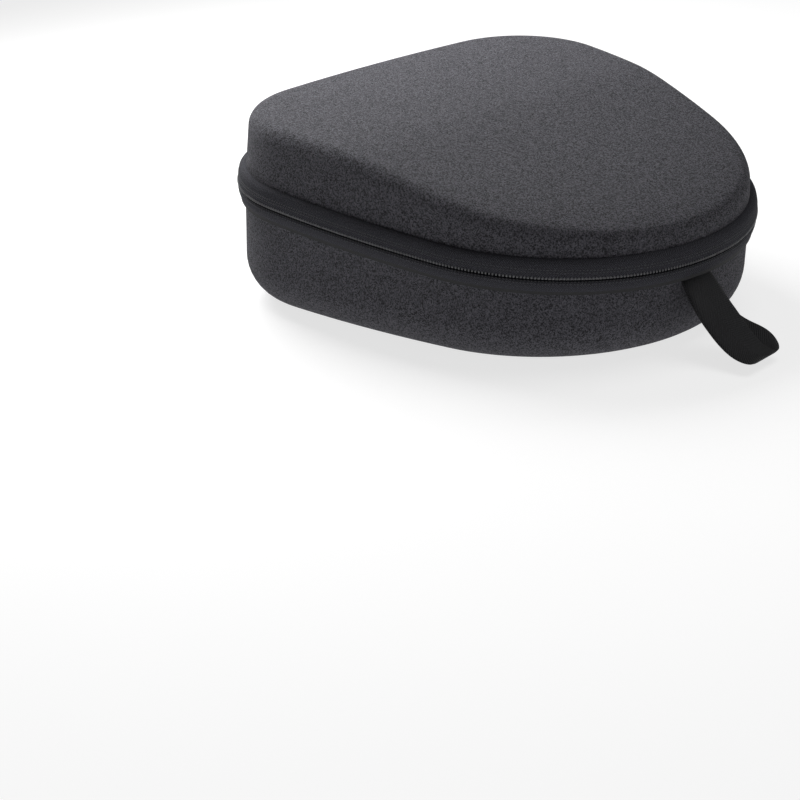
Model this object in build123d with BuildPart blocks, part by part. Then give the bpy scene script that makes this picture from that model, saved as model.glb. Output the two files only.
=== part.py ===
"""Moulded carrying case for over-ear headphones: two zipped half shells on a fabric spine.

Millimetres, +Z up. The origin is the centre of the base's flat underside. -Y is the rounded nose
with the webbing loop, +Y is the wide end with the fabric spine. The base is a wedge, so the
parting plane of the zip stands on a slope: the belt frame below is that plane, with its own up.
"""

import math
import os

from build123d import *

os.makedirs("parts", exist_ok=True)

# Plan outline of the zip: tangent arcs from the nose to the wide end, mirrored about X = 0
case_length = 230.0
nose_radius = 98.5
side_radius = 557.0
corner_radius = 55.0
nose_turn = 76.75
side_turn = 9.75
spine_turn = 4.0

# Parting plane
parting_height = 52.4
parting_slope = 4.2
half_gap = 0.45

# Layers, from outside in
belt_step = 4.0
cover_thickness = 0.9
shell_thickness = 4.0
lining_thickness = 0.7
base_draft = 1.0
base_round = 21.0
lid_draft = 3.0
lid_round = 9.0

# Lid crown: high over the ear cups, low over the headband
lid_high = 35.0
lid_low = 24.5
lid_nose = 19.5
crown_start = 12.0
crown_end = -50.0
band_slope = 0.06
nose_slope = 0.16

# Zip belt
belt_rise = 0.9
belt_depth = 10.6
lid_belt_height = 7.4
tape_thickness = 0.6
tape_inset = 1.9
coil_inset = 0.3
coil_width = 1.75
slot_height = 3.6
flange_inset = 2.0
flange_gap = 0.8

# Spine and hinge
spine_half_width = 54.0
spine_rise = 0.4
hinge_offset = 0.6
parked_end = 77.5

# Slider and pull
slider_heading = 167.5
slider_length = 11.0
plate_thickness = 1.2
plate_half_height = 4.3
wire_radius = 0.8
ring_width = 10.0
ring_height = 10.5
bridge_reach = 2.6
tab_length = 28.0
tab_width = 7.0
tab_thickness = 2.0

# Carrying loop
webbing_width = 20.0
webbing_thickness = 1.2
loop_root_height = -13.6
loop_root_inset = 2.4
loop_droop = 32.0
loop_reach = 38.5
loop_bend = 8.0


def heading_vector(heading):
    """Outward normal of the outline where a walk from the nose has turned by heading degrees."""
    turned = math.radians(heading)
    return Vector(math.sin(turned), -math.cos(turned))


def outline_centres():
    """Centres and radii of the four arcs of the right half, with the nose tip at the origin."""
    side_end = nose_turn + side_turn
    corner_end = 180.0 - spine_turn
    nose = Vector(0, nose_radius)
    side = nose + heading_vector(nose_turn) * (nose_radius - side_radius)
    corner = side + heading_vector(side_end) * (side_radius - corner_radius)
    spine_radius = corner_radius + corner.X / math.sin(math.radians(corner_end))
    spine = corner + heading_vector(corner_end) * (corner_radius - spine_radius)
    return nose, side, corner, spine, spine_radius


nose_centre, side_centre, corner_centre, spine_centre, spine_radius = outline_centres()
plan_shift = Vector(0, -(spine_centre.Y + spine_radius) / 2)
nose_centre += plan_shift
side_centre += plan_shift
corner_centre += plan_shift
spine_centre += plan_shift
half_length = spine_centre.Y + spine_radius

slope = math.radians(parting_slope)
belt_up = Vector(0, -math.sin(slope), math.cos(slope))
belt_plane = Plane(origin=(0, 0, parting_height), x_dir=(1, 0, 0), z_dir=belt_up)
belt_side = Plane(origin=(0, 0, parting_height), x_dir=(0, math.cos(slope), math.sin(slope)), z_dir=(1, 0, 0))


def outline(inset):
    """The plan outline moved in by inset, as lines of the BuildLine it is called in."""
    side_start = nose_turn - 90.0
    corner_start = side_start + side_turn
    spine_start = 90.0 - spine_turn
    CenterArc(nose_centre, nose_radius - inset, -90.0 - nose_turn, 2 * nose_turn)
    CenterArc(side_centre, side_radius - inset, side_start, side_turn)
    CenterArc(corner_centre, corner_radius - inset, corner_start, spine_start - corner_start)
    CenterArc(spine_centre, spine_radius - inset, spine_start, 2 * spine_turn)
    left_corner = Vector(-corner_centre.X, corner_centre.Y)
    left_side = Vector(-side_centre.X, side_centre.Y)
    CenterArc(left_corner, corner_radius - inset, 180.0 - spine_start, spine_start - corner_start)
    CenterArc(left_side, side_radius - inset, 180.0 - corner_start, side_turn)


def belt_ring(outer_inset, inner_inset, low, high):
    """A ring that follows the zip, between two insets and two heights over the parting plane."""
    with BuildPart() as ring:
        with BuildSketch(belt_plane.offset(low)):
            with BuildLine():
                outline(outer_inset)
            make_face()
            with BuildLine():
                outline(inner_inset)
            make_face(mode=Mode.SUBTRACT)
        extrude(amount=high - low)
    return ring.part


def end_block(reach, low, high):
    """A block over the wide end, to part the spine from the zip: |X| up to reach."""
    with BuildPart() as block:
        with BuildSketch(belt_plane.offset(low)):
            with Locations((0, half_length)):
                Rectangle(2 * reach, half_length)
        extrude(amount=high - low)
    return block.part


def base_block(inset, top, floor, rounding):
    """Solid tub under the parting plane: drafted wall, flat floor, rounded bottom edge."""
    with BuildPart() as block:
        with BuildSketch(belt_plane.offset(top)):
            with BuildLine():
                outline(inset)
            make_face()
        extrude(amount=-2 * parting_height, taper=base_draft)
        split(bisect_by=Plane.XY.offset(floor), keep=Keep.TOP)
        fillet(block.faces().sort_by(Axis.Z)[0].edges(), rounding)
    return block.part


def lid_block(inset, bottom, drop, rounding):
    """Solid lid over the parting plane: drafted wall cut by the crown's side profile."""
    high = lid_high - drop
    low = lid_low - drop
    nose = lid_nose - drop
    far = case_length
    with BuildPart() as block:
        with BuildSketch(belt_plane.offset(bottom)):
            with BuildLine():
                outline(inset)
            make_face()
        extrude(amount=lid_high + lid_round, taper=lid_draft)
        with BuildSketch(belt_side):
            with BuildLine():
                back = Line((far, bottom), (far, high))
                plateau = Line(back @ 1, (crown_start, high))
                fall = Spline(plateau @ 1, (crown_end, low), tangents=((-1, 0), (-1, -band_slope)))
                front = Spline(fall @ 1, (-half_length, nose), tangents=((-1, -band_slope), (-1, -nose_slope)))
                beyond = Line(front @ 1, (-far, nose - nose_slope * (far - half_length)))
                drop_line = Line(beyond @ 1, (-far, bottom))
                Line(drop_line @ 1, back @ 0)
            make_face()
        extrude(amount=case_length, both=True, mode=Mode.INTERSECT)
        rim = block.faces().sort_by(Axis(belt_plane.origin, belt_up))[0].edges()
        curved = block.edges().filter_by(GeomType.LINE, reverse=True)
        fillet([edge for edge in curved if edge not in rim], rounding)
    return block.part


# Depths of the layers behind the outline
shell_inset = belt_step + cover_thickness
lining_inset = shell_inset + shell_thickness
room_inset = lining_inset + lining_thickness
rim_low = -half_gap
rim_high = half_gap
crease_gap = 0.8
flange_lap = 1.0

# Base half, from the outer cloth to the lining
cover_top = -belt_depth + crease_gap
cover_outside = base_block(belt_step, cover_top, 0.0, base_round)
cover_inside = base_block(shell_inset, cover_top, cover_thickness, base_round - cover_thickness)
shell_outside = base_block(shell_inset, rim_low, cover_thickness, base_round - cover_thickness)
shell_floor = cover_thickness + shell_thickness
shell_inside = base_block(lining_inset, rim_low, shell_floor, base_round - shell_floor)
lining_floor = shell_floor + lining_thickness
lining_inside = base_block(room_inset, rim_low, lining_floor, base_round - lining_floor)

with BuildPart() as base_cover:
    add(cover_outside)
    add(cover_inside, mode=Mode.SUBTRACT)
base_cover.part.label = "base_cover"
export_step(base_cover.part, "parts/base_cover.step")

# The foam shell thickens into a rim flange that the zip tape is sewn round
with BuildPart() as base_shell:
    add(shell_outside)
    add(belt_ring(flange_inset, shell_inset + flange_lap, -belt_depth + 2 * crease_gap, -slot_height - flange_gap))
    add(shell_inside, mode=Mode.SUBTRACT)
base_shell.part.label = "base_shell"
export_step(base_shell.part, "parts/base_shell.step")

with BuildPart() as base_lining:
    add(shell_inside)
    add(lining_inside, mode=Mode.SUBTRACT)
base_lining.part.label = "base_lining"
export_step(base_lining.part, "parts/base_lining.step")

# Lid half, from the outer cloth to the lining
lid_outside = lid_block(belt_step, rim_high, 0.0, lid_round)
lid_middle = lid_block(shell_inset, rim_high, cover_thickness, lid_round - cover_thickness)
lid_inside = lid_block(lining_inset, rim_high, shell_floor, lid_round - shell_thickness)
lid_room = lid_block(room_inset, rim_high, lining_floor, lid_round - shell_thickness)
lid_flange_high = lid_belt_height - flange_lap

with BuildPart() as lid_cover:
    add(lid_outside)
    add(lid_middle, mode=Mode.SUBTRACT)
    split(bisect_by=belt_plane.offset(lid_belt_height - crease_gap), keep=Keep.TOP)
lid_cover.part.label = "lid_cover"
export_step(lid_cover.part, "parts/lid_cover.step")

with BuildPart() as lid_shell:
    add(lid_middle)
    add(belt_ring(flange_inset, shell_inset + flange_lap, slot_height + flange_gap, lid_flange_high))
    add(lid_inside, mode=Mode.SUBTRACT)
lid_shell.part.label = "lid_shell"
export_step(lid_shell.part, "parts/lid_shell.step")

with BuildPart() as lid_lining:
    add(lid_inside)
    add(lid_room, mode=Mode.SUBTRACT)
lid_lining.part.label = "lid_lining"
export_step(lid_lining.part, "parts/lid_lining.step")

# Woven ribbon sewn over the raw rim inside each half
binding_thickness = 0.8
binding_width = 9.0
ribbon_gap = 0.3
lid_ribbon_inset = room_inset + ribbon_gap
base_ribbon = belt_ring(room_inset, room_inset + binding_thickness, -binding_width, rim_low)
lid_ribbon = belt_ring(lid_ribbon_inset, lid_ribbon_inset + binding_thickness, rim_high, binding_width)

with BuildPart() as base_edge_binding:
    add(base_ribbon)
    add(lining_inside, mode=Mode.INTERSECT)
base_edge_binding.part.label = "base_edge_binding"
export_step(base_edge_binding.part, "parts/base_edge_binding.step")

with BuildPart() as lid_edge_binding:
    add(lid_ribbon)
    add(lid_room, mode=Mode.INTERSECT)
lid_edge_binding.part.label = "lid_edge_binding"
export_step(lid_edge_binding.part, "parts/lid_edge_binding.step")

# Zip tapes: a cover over the flange, stepped in to the strip that carries the coil
web_height = 0.6
strip_back = tape_inset + tape_thickness
coil_lap = 0.05
tape_tip = half_gap - coil_lap


def zip_tape(side, width, reach):
    """One tape: side is -1 under the parting plane, 1 over it; reach frees the wide end."""
    heights = sorted((side * slot_height, side * width))
    web = sorted((side * slot_height, side * (slot_height + web_height)))
    strip = sorted((side * tape_tip, side * (slot_height + web_height)))
    outer = belt_ring(belt_rise, flange_inset, *heights)
    joint = belt_ring(belt_rise, strip_back, *web)
    inner = belt_ring(tape_inset, strip_back, *strip)
    clear = end_block(reach, -2 * belt_depth, 2 * belt_depth)
    with BuildPart() as tape:
        add(outer)
        add(joint)
        add(inner)
        add(clear, mode=Mode.SUBTRACT)
    return tape.part


with BuildPart() as base_zip_tape:
    add(zip_tape(-1, belt_depth, spine_half_width + half_gap))
base_zip_tape.part.label = "base_zip_tape"
export_step(base_zip_tape.part, "parts/base_zip_tape.step")

with BuildPart() as lid_zip_tape:
    add(zip_tape(1, lid_belt_height, parked_end))
lid_zip_tape.part.label = "lid_zip_tape"
export_step(lid_zip_tape.part, "parts/lid_zip_tape.step")

# Coil halves, sewn on the strips face to face
base_coil_ring = belt_ring(coil_inset, tape_inset, -half_gap - coil_width, -half_gap)
lid_coil_ring = belt_ring(coil_inset, tape_inset, half_gap, half_gap + coil_width)
stop_space = 7.2
stop_reach = spine_half_width + stop_space

with BuildPart() as base_zip_coil:
    add(base_coil_ring)
    add(end_block(stop_reach, -belt_depth, belt_depth), mode=Mode.SUBTRACT)
base_zip_coil.part.label = "base_zip_coil"
export_step(base_zip_coil.part, "parts/base_zip_coil.step")

with BuildPart() as lid_zip_coil:
    add(lid_coil_ring)
    add(end_block(parked_end, -belt_depth, belt_depth), mode=Mode.SUBTRACT)
lid_zip_coil.part.label = "lid_zip_coil"
export_step(lid_zip_coil.part, "parts/lid_zip_coil.step")


def zip_plane(heading, side):
    """Plane on the outline: X along the zip, Y up over the parting plane, Z outwards."""
    foot = corner_centre + heading_vector(heading) * corner_radius
    normal = heading_vector(heading)
    foot = Vector(side * foot.X, foot.Y)
    normal = Vector(side * normal.X, normal.Y)
    outward = belt_plane.from_local_coords(foot + normal) - belt_plane.from_local_coords(foot)
    return Plane(origin=belt_plane.from_local_coords(foot), x_dir=belt_up.cross(outward), z_dir=outward)


# A crimped metal stop at each end of the chain, as one node
stop_heading = 175.0
stop_length = 2.6
stop_height = 4.4
stop_thickness = 1.2
stop_corner = 0.5
stop_sink = 0.2
with BuildPart() as zip_end_stops:
    for side in (-1, 1):
        with BuildSketch(zip_plane(stop_heading, side).offset(-tape_inset + stop_sink)):
            RectangleRounded(stop_length, stop_height, stop_corner)
        extrude(amount=stop_thickness)
zip_end_stops.part.label = "zip_end_stops"
export_step(zip_end_stops.part, "parts/zip_end_stops.step")


def spine_half(low, high):
    """Half of the cloth spine over the flat wide end, wrapped round the flange."""
    band = belt_ring(spine_rise, flange_inset, low, high)
    keep = end_block(spine_half_width, low, high)
    with BuildPart() as half:
        add(band)
        add(keep, mode=Mode.INTERSECT)
    return half.part


with BuildPart() as spine_band_base:
    add(spine_half(-belt_depth, -half_gap))
spine_band_base.part.label = "spine_band_base"
export_step(spine_band_base.part, "parts/spine_band_base.step")

with BuildPart() as spine_band_lid:
    add(spine_half(half_gap, lid_belt_height))
spine_band_lid.part.label = "spine_band_lid"
export_step(spine_band_lid.part, "parts/spine_band_lid.step")

# Slider: front plate with two lips over the coil, back plate behind the strips, thin web, bridge
slider_plane = zip_plane(slider_heading, -1)
front_gap = 0.1
plate_corner = 1.6
lip_width = 0.8
lip_length = 8.0
lip_height = 2.75
lip_depth = 1.4
back_gap = 3.0
back_thickness = 0.8
back_length = 8.0
back_half_height = 3.1
back_corner = 1.0
web_width = 0.3
web_length = 2.4
bridge_length = 6.4
bridge_width = 2.4
bridge_post = 1.4
bridge_roof = 1.0
bridge_corner = 0.8
post_place = (bridge_length - bridge_post) / 2
with BuildPart() as slider_body:
    with BuildSketch(slider_plane.offset(front_gap)):
        RectangleRounded(slider_length, 2 * plate_half_height, plate_corner)
    extrude(amount=plate_thickness)
    with BuildSketch(slider_plane.offset(front_gap)):
        with Locations((0, lip_height + lip_width / 2), (0, -lip_height - lip_width / 2)):
            Rectangle(lip_length, lip_width)
    extrude(amount=-lip_depth)
    with BuildSketch(slider_plane.offset(-back_gap)):
        RectangleRounded(back_length, 2 * back_half_height, back_corner)
    extrude(amount=-back_thickness)
    with BuildSketch(slider_plane.offset(-back_gap)):
        Rectangle(web_length, web_width)
    extrude(amount=back_gap + front_gap)
    with BuildSketch(slider_plane.offset(front_gap + plate_thickness)):
        with Locations((0, post_place), (0, -post_place)):
            Rectangle(bridge_width, bridge_post)
    extrude(amount=bridge_reach)
    with BuildSketch(slider_plane.offset(front_gap + plate_thickness + bridge_reach)):
        RectangleRounded(bridge_width, bridge_length, bridge_corner)
    extrude(amount=bridge_roof)
slider_body.part.label = "slider_body"
export_step(slider_body.part, "parts/slider_body.step")

# Wire ring through the bridge, hanging down, with the tab hung on its lower bar
ring_pivot_out = front_gap + plate_thickness + bridge_reach / 2
ring_plane = slider_plane.offset(ring_pivot_out)
wire_bend = 2.2
with BuildSketch(ring_plane) as ring_shape:
    with Locations((0, -ring_height / 2)):
        RectangleRounded(ring_width, ring_height, wire_bend)
ring_path = ring_shape.sketch.faces()[0].outer_wire()
with BuildPart() as pull_ring:
    with BuildSketch(Plane(origin=ring_path @ 0, z_dir=ring_path % 0)):
        Circle(wire_radius)
    sweep(path=ring_path)
pull_ring.part.label = "pull_ring"
export_step(pull_ring.part, "parts/pull_ring.step")

pin_gap = 0.3
eye_wall = 0.8
eye_hole = wire_radius + pin_gap
eye_radius = eye_hole + eye_wall
eye_width = 4.4
tab_corner = 3.0
tab_chamfer = 0.4
tab_top = -ring_height - eye_hole
side_of_tab = Plane(
    origin=ring_plane.from_local_coords((0, -ring_height, 0)), x_dir=ring_plane.y_dir, z_dir=ring_plane.x_dir
)
with BuildPart() as pull_tab:
    with BuildSketch(ring_plane.offset(-tab_thickness / 2)):
        with Locations((0, tab_top - tab_length / 2)):
            RectangleRounded(tab_width, tab_length, tab_corner)
    extrude(amount=tab_thickness)
    chamfer(pull_tab.faces().filter_by(ring_plane).edges(), tab_chamfer)
    with BuildSketch(side_of_tab.offset(-eye_width / 2)):
        Circle(eye_radius)
    extrude(amount=eye_width)
    with BuildSketch(side_of_tab.offset(-tab_width)):
        Circle(eye_hole)
    extrude(amount=2 * tab_width, mode=Mode.SUBTRACT)
pull_tab.part.label = "pull_tab"
export_step(pull_tab.part, "parts/pull_tab.step")

# Webbing loop: its sewn end under the belt, and the free loop that swings below it
loop_pivot = belt_plane.from_local_coords((0, -half_length + loop_root_inset, loop_root_height))
droop = math.radians(loop_droop)
loop_plane = Plane(origin=loop_pivot, x_dir=(0, -math.cos(droop), -math.sin(droop)), z_dir=(1, 0, 0))
root_radius = 1.5
root_gap = 0.4
hole_start = 6.0
with BuildSketch(loop_plane) as finger_hole:
    with Locations((hole_start, 0)):
        Circle(root_gap)
    with Locations((loop_reach, 0)):
        Circle(loop_bend)
    make_hull()
with BuildPart() as carry_loop:
    with BuildSketch(loop_plane):
        Circle(root_radius)
        with Locations((loop_reach, 0)):
            Circle(loop_bend + webbing_thickness)
        make_hull()
        add(finger_hole.sketch_local, mode=Mode.SUBTRACT)
    extrude(amount=webbing_width / 2, both=True)
carry_loop.part.label = "carry_loop"
export_step(carry_loop.part, "parts/carry_loop.step")

root_top = -belt_depth
root_bottom = loop_root_height + root_radius + root_gap
root_lap = 1.0
with BuildPart() as loop_root:
    with BuildSketch(belt_plane.offset(root_bottom)):
        with Locations((0, -half_length + (belt_step + belt_rise) / 2)):
            Rectangle(webbing_width, belt_step - belt_rise + root_lap)
    extrude(amount=root_top - root_bottom)
    add(cover_outside, mode=Mode.SUBTRACT)
loop_root.part.label = "loop_root"
export_step(loop_root.part, "parts/loop_root.step")

# Lid pocket: a mesh sheet over the nose side of the lid, bound at its edge, elastic at its mouth
pocket_height = 4.4
pocket_gap = 0.6
pocket_inset = room_inset + binding_thickness + pocket_gap
pocket_mouth = 32.0
mesh_thickness = 0.6
hem_width = 8.0
hem_thickness = 1.6


def pocket_side(low, high):
    """Everything over the nose side of the pocket's mouth, between two heights."""
    with BuildPart() as block:
        with BuildSketch(belt_plane.offset(low)):
            with Locations((0, pocket_mouth - case_length / 2)):
                Rectangle(case_length, case_length)
        extrude(amount=high - low)
    return block.part


mesh_top = pocket_height + mesh_thickness
binding_top = mesh_top + binding_thickness
hem_low = pocket_height - hem_thickness / 2
with BuildPart() as pocket_mesh:
    with BuildSketch(belt_plane.offset(pocket_height)):
        with BuildLine():
            outline(pocket_inset)
        make_face()
    extrude(amount=mesh_thickness)
    add(pocket_side(pocket_height, mesh_top), mode=Mode.INTERSECT)
pocket_mesh.part.label = "pocket_mesh"
export_step(pocket_mesh.part, "parts/pocket_mesh.step")

with BuildPart() as pocket_binding:
    add(belt_ring(pocket_inset, pocket_inset + hem_width / 2, mesh_top, binding_top))
    add(pocket_side(mesh_top, binding_top), mode=Mode.INTERSECT)
pocket_binding.part.label = "pocket_binding"
export_step(pocket_binding.part, "parts/pocket_binding.step")

with BuildPart() as pocket_elastic:
    with BuildSketch(belt_plane.offset(hem_low)):
        with BuildLine():
            outline(pocket_inset)
        make_face()
    extrude(amount=hem_thickness)
    with BuildSketch(belt_plane.offset(hem_low)):
        with Locations((0, pocket_mouth + hem_width / 2)):
            Rectangle(case_length, hem_width)
    extrude(amount=hem_thickness, mode=Mode.INTERSECT)
pocket_elastic.part.label = "pocket_elastic"
export_step(pocket_elastic.part, "parts/pocket_elastic.step")
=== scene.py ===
import math

import bmesh
import bpy
from mathutils import Matrix, Vector


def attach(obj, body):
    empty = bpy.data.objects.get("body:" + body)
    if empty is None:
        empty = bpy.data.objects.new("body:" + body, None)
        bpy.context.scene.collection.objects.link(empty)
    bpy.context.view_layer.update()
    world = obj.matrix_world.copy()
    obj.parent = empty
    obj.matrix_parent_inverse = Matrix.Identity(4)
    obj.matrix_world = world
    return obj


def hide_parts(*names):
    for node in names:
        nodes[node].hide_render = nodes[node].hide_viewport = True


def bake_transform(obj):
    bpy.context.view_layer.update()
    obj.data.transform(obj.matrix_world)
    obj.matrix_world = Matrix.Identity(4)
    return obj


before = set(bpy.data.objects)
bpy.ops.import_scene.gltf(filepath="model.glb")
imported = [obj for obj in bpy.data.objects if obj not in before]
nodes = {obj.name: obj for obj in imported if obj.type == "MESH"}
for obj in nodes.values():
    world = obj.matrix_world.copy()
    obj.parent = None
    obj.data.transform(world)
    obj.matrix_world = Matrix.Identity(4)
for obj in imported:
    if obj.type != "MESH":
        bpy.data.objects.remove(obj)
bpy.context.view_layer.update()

# Camera: a long portrait lens from the front left, a little over the lid, with the case high in the frame.
# It stands on a line of sight through the middle of the zip and looks down past the front of the case.
zip_height = 0.0524
line_of_sight = math.radians(-44.17), math.radians(18.06)
camera_distance = 1.428
camera_roll = math.radians(-0.81)
case_place = Vector((0.0404, 0.0707, -1.0))
turned, raised = line_of_sight
backward = Vector((
    math.sin(turned) * math.cos(raised), -math.cos(turned) * math.cos(raised), math.sin(raised)
))
sideways = Vector((math.cos(turned), math.sin(turned), 0.0))
upward = backward.cross(sideways)
rolled_side = sideways * math.cos(camera_roll) + upward * math.sin(camera_roll)
rolled_up = upward * math.cos(camera_roll) - sideways * math.sin(camera_roll)
facing = Matrix((rolled_side, rolled_up, backward)).transposed()
aim = case_place.rotation_difference(Vector((0.0, 0.0, -1.0))).to_matrix()


def place_object(name, data):
    """A new object in the scene that shows the given data."""
    placed = bpy.data.objects.new(name, data)
    bpy.context.scene.collection.objects.link(placed)
    return placed


camera = place_object("camera", bpy.data.cameras.new("camera"))
camera.data.lens = 136.0
camera.data.sensor_width = 36.0
camera.data.clip_end = 50.0
camera_place = Vector((0, 0, zip_height)) + backward * camera_distance
camera.matrix_world = Matrix.Translation(camera_place) @ (facing @ aim).to_4x4()
bpy.context.scene.camera = camera

# Table: a plain white sweep under the case, wide enough to fill every view, and lit a little from below
# as a light table is, so that it stays white.
table_half_width = 9.0
table_mesh = bpy.data.meshes.new("table")
table_mesh.from_pydata(
    [(x * table_half_width, y * table_half_width, 0.0) for x, y in ((-1, -1), (1, -1), (1, 1), (-1, 1))],
    [],
    [(0, 1, 2, 3)],
)
table = place_object("table", table_mesh)

table_white = bpy.data.materials.new("table_white")
table_white.use_nodes = True
table_shader = table_white.node_tree.nodes["Principled BSDF"]
table_shader.inputs["Roughness"].default_value = 0.9
table_shader.inputs["Specular IOR Level"].default_value = 0.1
table_shader.inputs["Emission Color"].default_value = (1.0, 1.0, 1.0, 1.0)
table_shader.inputs["Emission Strength"].default_value = 0.72
paper_grain = table_white.node_tree.nodes.new("ShaderNodeTexNoise")
paper_grain.inputs["Scale"].default_value = 40.0
paper_tone = table_white.node_tree.nodes.new("ShaderNodeMapRange")
paper_tone.inputs["To Min"].default_value = 0.33
paper_tone.inputs["To Max"].default_value = 0.36
table_white.node_tree.links.new(paper_grain.outputs["Fac"], paper_tone.inputs["Value"])
table_white.node_tree.links.new(paper_tone.outputs["Result"], table_shader.inputs["Base Color"])
table_mesh.materials.append(table_white)

# Light: a softbox close behind the wide end, so that the lid fades towards its nose, a wide soft light
# overhead to the right, and a dim white room.
room = bpy.data.worlds.new("room")
room.use_nodes = True
room.node_tree.nodes["Background"].inputs["Color"].default_value = (1.0, 1.0, 1.0, 1.0)
room.node_tree.nodes["Background"].inputs["Strength"].default_value = 0.12
bpy.context.scene.world = room
bpy.context.scene.view_settings.view_transform = "Standard"


def soft_light(name, toward, strength, spread):
    """A sun as wide as a studio softbox; toward is the direction it comes from."""
    lamp = place_object(name, bpy.data.lights.new(name, "SUN"))
    lamp.data.energy = strength
    lamp.data.angle = math.radians(spread)
    lamp.rotation_euler = Vector(toward).to_track_quat("Z", "Y").to_euler()


soft_light("overhead_softbox", (0.35, -0.05, 1.0), 0.75, 40.0)
softbox_target = Vector((0.0, 0.0, 0.08))
back_softbox = place_object("back_softbox", bpy.data.lights.new("back_softbox", "AREA"))
back_softbox.data.energy = 4.6
back_softbox.data.size = 0.36
back_softbox.location = (0.03, 0.37, 0.36)
softbox_line = back_softbox.location - softbox_target
back_softbox.rotation_euler = softbox_line.to_track_quat("Z", "Y").to_euler()

# Base cover: melange polyester cloth, heat-moulded with the foam of the base. It runs from the crease
# under the zip down a slightly drafted wall, round the bottom edge and across the flat underside.
nose_radius = 0.0985
side_radius = 0.557
corner_radius = 0.055
nose_turn = 76.75
side_turn = 9.75
spine_turn = 4.0
parting_slope = math.radians(4.2)


def heading_normal(heading):
    """Outward direction in plan, where a walk round the case from the nose has turned by heading degrees."""
    angle = math.radians(heading)
    return Vector((math.sin(angle), -math.cos(angle)))


def plan_arcs():
    """The arcs of the plan outline from the nose to the right and round: end heading, centre, radius."""
    corner_end = 180.0 - spine_turn
    side_end = nose_turn + side_turn
    nose = Vector((0.0, nose_radius))
    side = nose + heading_normal(nose_turn) * (nose_radius - side_radius)
    corner = side + heading_normal(side_end) * (side_radius - corner_radius)
    end_radius = corner_radius + corner.x / math.sin(math.radians(corner_end))
    end = corner + heading_normal(corner_end) * (corner_radius - end_radius)
    middle = Vector((0.0, (end.y + end_radius) / 2))
    nose_arc = nose, nose_radius
    side_arc = side, side_radius
    corner_arc = corner, corner_radius
    right = [(nose_turn, *nose_arc), (side_end, *side_arc), (corner_end, *corner_arc)]
    left = [(360.0, *nose_arc), (360.0 - nose_turn, *side_arc), (360.0 - side_end, *corner_arc)]
    arcs = [(stop, centre - middle, radius) for stop, centre, radius in right]
    arcs.append((360.0 - corner_end, end - middle, end_radius))
    for stop, centre, radius in reversed(left):
        arcs.append((stop, Vector((-centre.x, centre.y)) - middle, radius))
    return arcs


case_outline = plan_arcs()


def plan_arc(heading):
    """Centre and radius of the outline's arc at a heading."""
    for stop, centre, radius in case_outline:
        if heading % 360.0 <= stop:
            return centre, radius


just_past = 0.01


def rim_step(heading, step):
    """The heading one step further along the rim, also where one arc of the outline meets the next."""
    radius = plan_arc(heading + just_past)[1]
    stops = [stop + turn for stop, centre, arc in case_outline for turn in (-360.0, 0.0, 360.0)]
    stop = min(stop for stop in stops if stop > heading + just_past)
    spent = math.radians(stop - heading) * radius
    if spent >= step:
        return heading + math.degrees(step / radius)
    return stop + math.degrees((step - spent) / plan_arc(stop + just_past)[1])


def rim_walk(start, end, step):
    """Headings from start to end, in degrees, step apart along the rim, with the distance walked."""
    walk = [(start, 0.0)]
    while end - walk[-1][0] > 1e-4:
        heading, walked = walk[-1]
        walk.append((min(rim_step(heading, step), end), walked + step))
    return walk


def zip_place(across, along, over):
    """A place given in the sloping plane of the zip, in the case's own upright frame."""
    tilt_y = along * math.cos(parting_slope) - over * math.sin(parting_slope)
    tilt_z = zip_height + along * math.sin(parting_slope) + over * math.cos(parting_slope)
    return Vector((across, tilt_y, tilt_z))


def rim_place(heading, inset, over):
    """A place by the rim: inset inwards from the outline, over the plane of the zip."""
    centre, radius = plan_arc(heading)
    plan = centre + heading_normal(heading) * (radius - inset)
    return zip_place(plan.x, plan.y, over)


def rounded_corner(corner, first, second, radius, steps):
    """Points of the arc that rounds a corner between two directions leading away from it."""
    first = first.normalized()
    second = second.normalized()
    half = first.angle(second) / 2
    reach = radius / math.tan(half)
    weight = math.sin(half)
    points = []
    for step in range(steps + 1):
        t = step / steps
        shares = (1 - t) ** 2, 2 * weight * t * (1 - t), t ** 2
        point = (corner + first * reach) * shares[0] + corner * shares[1]
        point += (corner + second * reach) * shares[2]
        points.append(point / sum(shares))
    return points


def run_lengths(points):
    """The distance walked along a line of points, at each of them."""
    lengths = [0.0]
    for before, after in zip(points, points[1:]):
        lengths.append(lengths[-1] + (after - before).length)
    return lengths


def cloth_surface(name, rows, cloth, closed, capped=False):
    """A smooth quad surface through rows of points; cloth is each point's place on the flat cloth."""
    mesh = bpy.data.meshes.new(name)
    count = len(rows[0])
    spans = count if closed else count - 1
    faces = []
    for row in range(len(rows) - 1):
        for column in range(spans):
            after = (column + 1) % count
            low = row * count
            high = low + count
            faces.append((low + column, low + after, high + after, high + column))
    if capped:
        faces.append(tuple(range(len(rows) * count - count, len(rows) * count)))
    mesh.from_pydata([point for row in rows for point in row], [], faces)
    flat = [place for row in cloth for place in row]
    layer = mesh.uv_layers.new(name="cloth")
    for loop in mesh.loops:
        layer.data[loop.index].uv = flat[loop.vertex_index]
    mesh.polygons.foreach_set("use_smooth", [True] * len(mesh.polygons))
    return place_object(name, mesh)


def level_rows(columns, item):
    """Rows through the same step of every column of a wall."""
    return [list(row) for row in zip(*(column[item] for column in columns))]


def face_outwards(piece, inside=(0.0, 0.0, zip_height)):
    """Turns the faces of a piece to look away from a point inside the case."""
    mesh = piece.data
    votes = sum(1 if (p.center - Vector(inside)).dot(p.normal) > 0 else -1 for p in mesh.polygons)
    if votes < 0:
        mesh.flip_normals()


edge_steps = 12
base_wall_steps = 12
base_first_guess = -0.05
base_settling = 4
floor_rings = (0.97, 0.85, 0.6, 0.3, 0.02)


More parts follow.
